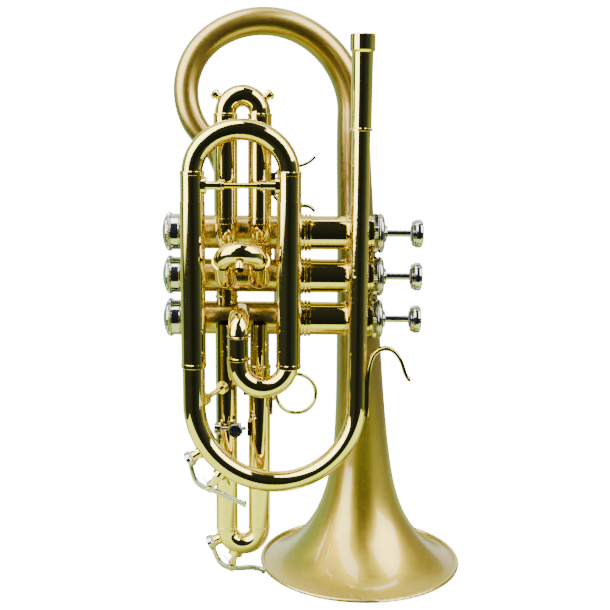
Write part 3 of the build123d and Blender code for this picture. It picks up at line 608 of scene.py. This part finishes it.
KNOB_RIM = ((0.0, 3.0), (0.0, 3.6), (0.3, 3.95, 0.3), (2.2, 3.95, 0.3), (2.5, 3.6), (2.5, 3.0))
TOWARDS_BUTTONS = (1, 0, 0)
TOP_CAP_LENGTH = 7.6
FELT_THICKNESS = 0.8
INLAY_SUNK = 0.25
BASE_KNURL_IN = 3.35
# points around each turned piece; a knurl has half as many teeth
CAP_STEPS, BUTTON_STEPS, FELT_STEPS, KNOB_STEPS = 160, 64, 48, 64
SPRING_WIRE, SPRING_TURNS, SPRING_STEPS = 0.55, 8, 24
KEY_WIRE, KEY_COIL, KEY_TURNS, KEY_STEPS = 0.3, 1.75, 2.5, 20
KEY_PITCH, KEY_LEG, KEY_TAIL = 0.75, 5.5, 4.0


def dress_valves():
    """Knurled caps, pearl inlays, felts and wire springs of the three valves."""
    along = TOWARDS_BUTTONS
    for number in VALVES:
        valve = f"valve_{number}"
        cap, _, high = middle(f"top_cap_{number}")
        seat = Vector((high.x - TOP_CAP_LENGTH * MM, cap.y, cap.z))
        lid = turned(f"top_cap_turned_{number}", TOP_CAP, seat, along, "horn", NICKEL, CAP_STEPS)
        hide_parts(f"top_cap_{number}")
        button, low, high = middle(f"finger_button_{number}")
        face = Vector((high.x - INLAY_SUNK * MM, button.y, button.z))
        turned(f"button_inlay_{number}", INLAY, face, along, valve, PEARL, BUTTON_STEPS)
        back = Vector((low.x - FELT_THICKNESS * MM, button.y, button.z))
        turned(f"button_felt_{number}", FELT_RING, back, along, valve, FELT, FELT_STEPS)
        base, low, _ = middle(f"bottom_cap_{number}")
        at = Vector((low.x + BASE_KNURL_IN * MM, base.y, base.z))
        knurl = turned(f"bottom_cap_knurl_{number}", KNURL, at, along, "horn", NICKEL, CAP_STEPS)
        coil_spring(number)


def coil_spring(number):
    """The valve's spring, wound inside the piston."""
    node = f"valve_spring_{number}"
    centre, low, high = middle(node)
    winding = (high.z - low.z) / 2 - (SPRING_WIRE + 0.1) * MM
    start, end = low.x + SPRING_WIRE * MM, high.x - SPRING_WIRE * MM
    count = SPRING_TURNS * SPRING_STEPS
    points = []
    for step in range(count + 1):
        angle = 2 * math.pi * step / SPRING_STEPS
        share = step / count
        along = share * share * (3 - 2 * share) * 0.35 + share * 0.65  # closer turns at the ends
        x = start + (end - start) * along
        y, z = centre.y + winding * math.cos(angle), centre.z + winding * math.sin(angle)
        points.append(Vector((x, y, z)))
    coil = wire(f"valve_spring_coil_{number}", points, SPRING_WIRE, "horn", STEEL)
    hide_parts(node)
    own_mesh(coil)


def slotted_head(name, at, axis, radius, body, material):
    """Two D-shaped lands that leave a screw slot between them."""
    axis, side, other = frame_of(axis)
    at = Vector(at)
    gap, tall, steps = 0.28, 0.3, 14
    verts, faces = [], []
    for sign in (1, -1):
        start = math.asin(gap / radius)
        outline = []
        for step in range(steps + 1):
            angle = start + (math.pi - 2 * start) * step / steps
            outline.append((radius * math.cos(angle), sign * radius * math.sin(angle)))
        base = len(verts)
        for level, inset in ((-0.1, 0.0), (tall * 0.7, 0.0), (tall, 0.12)):
            for u, v in outline:
                shrink = 1 - inset / radius
                keep = max(abs(v) * shrink, gap) * sign
                verts.append(at + (side * u * shrink + other * keep + axis * level) * MM)
        count = steps + 1
        for level in (0, 1):
            for step in range(count):
                after = (step + 1) % count
                low, high = base + level * count, base + (level + 1) * count
                faces.append((low + step, low + after, high + after, high + step))
        faces.append(tuple(base + step for step in range(count)))
        faces.append(tuple(base + 2 * count + step for step in range(count)))
    head = piece(name, verts, faces, body, material)
    return head


def dress_keys():
    """Slotted pivot screws and torsion springs of the two water keys."""
    for key, ground in (("water_key_main", "horn"), ("water_key_third", "third_slide")):
        joint = next(j for j in frame["joints"] if j["child"] == key)
        pivot = Vector(joint["pos_m"])
        low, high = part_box(f"{key}_saddle")
        head = Vector((pivot.x, low[1], pivot.z))
        slotted_head(f"{key}_screw_slot", head, (0, -1, 0), 1.42, ground, NICKEL)
        points = []
        start = Vector((pivot.x, high[1] - 0.55 * MM, pivot.z))
        cork = Vector([sum(pair) / 2 for pair in zip(*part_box(f"{key}_cork"))])
        leg = (cork - pivot).normalized()
        leg.y = 0
        first = math.atan2(leg.z, leg.x) + math.pi / 2
        for step in range(int(KEY_TURNS * KEY_STEPS) + 1):
            angle = first + 2 * math.pi * step / KEY_STEPS
            shift = Vector((math.cos(angle), 0, math.sin(angle))) * KEY_COIL * MM
            points.append(start + shift + Vector((0, KEY_PITCH * MM * step / KEY_STEPS, 0)))
        away = points[0] + leg * KEY_LEG * MM
        tail = points[-1] + (points[-1] - points[-2]).normalized() * KEY_TAIL * MM
        spring = wire(f"{key}_spring", [away, *points, tail], KEY_WIRE, ground, STEEL)


def dress_thumb_screw():
    """The knurled rim of the third slide's thumb screw."""
    knob, low, _ = middle("third_slide_thumb_screw")
    at = Vector((knob.x, low.y + 0.05 * MM, knob.z))
    along = (0, 1, 0)
    knurl = turned("thumb_screw_knurl", KNOB_RIM, at, along, "thumb_screw", NICKEL, KNOB_STEPS)


dress_valves()
dress_keys()
dress_thumb_screw()


# ---------------------------------------------------------------- floor

# painted light: the table top glows in place of light sent back by a lit table
TABLE_GLOW = (2.2, 2.9, 0.7, 1)
# painted shadow: distances over which the table's glow fades out near the cornet
GLOW_SHADOW_FADE = (0.07, 0.13)


def plane(name, low, high, height, colour, strength, base, shade=None):
    """A level sheet that glows; shade gives the distances over which the glow rises to full, a painted shadow of
    what stands on it.
    """
    mesh = bpy.data.meshes.new(name)
    corners = [(low[0], low[1]), (high[0], low[1]), (high[0], high[1]), (low[0], high[1])]
    mesh.from_pydata([(x, y, height) for x, y in corners], [], [(0, 1, 2, 3)])
    thing = bpy.data.objects.new(name, mesh)
    scene.collection.objects.link(thing)
    material, g, shader = new_material(name)
    shader.inputs["Base Color"].default_value = (base, base, base, 1)
    shader.inputs["Roughness"].default_value = 0.6
    shader.inputs["Emission Color"].default_value = colour
    shader.inputs["Emission Strength"].default_value = strength
    if shade:
        place = g.place()
        _, y, _ = g.split(place)
        length = g.add("ShaderNodeVectorMath", operation="LENGTH")
        g.wire(place, length.inputs[0])
        # painted shadow: the glow is dimmer behind the cornet and fades close to it
        behind = g.step(y, -0.02, 0.03, strength, 0.3 * strength)
        fade = g.math("MULTIPLY", g.step(length.outputs["Value"], *shade, 0.12, 1.0), behind)
        g.wire(fade, shader.inputs["Emission Strength"])
    mesh.materials.append(material)
    return thing


def build_floor():
    """A white floor for the eye, and a table top that only reflections see, pale by painted light: it glows, with
    a painted shadow where the cornet stands.
    """
    floor = plane("floor", (-3, -3), (3, 3), 0.0, WHITE, 14.0, 0.9)
    floor.visible_glossy = False
    floor.visible_diffuse = False
    near, far = (-0.32, -0.26), (0.32, 0.30)
    table = plane("table_glow", near, far, -0.0005, TABLE_GLOW, 1.0, 0.0, GLOW_SHADOW_FADE)
    table.visible_camera = False
    table.visible_shadow = False


build_floor()
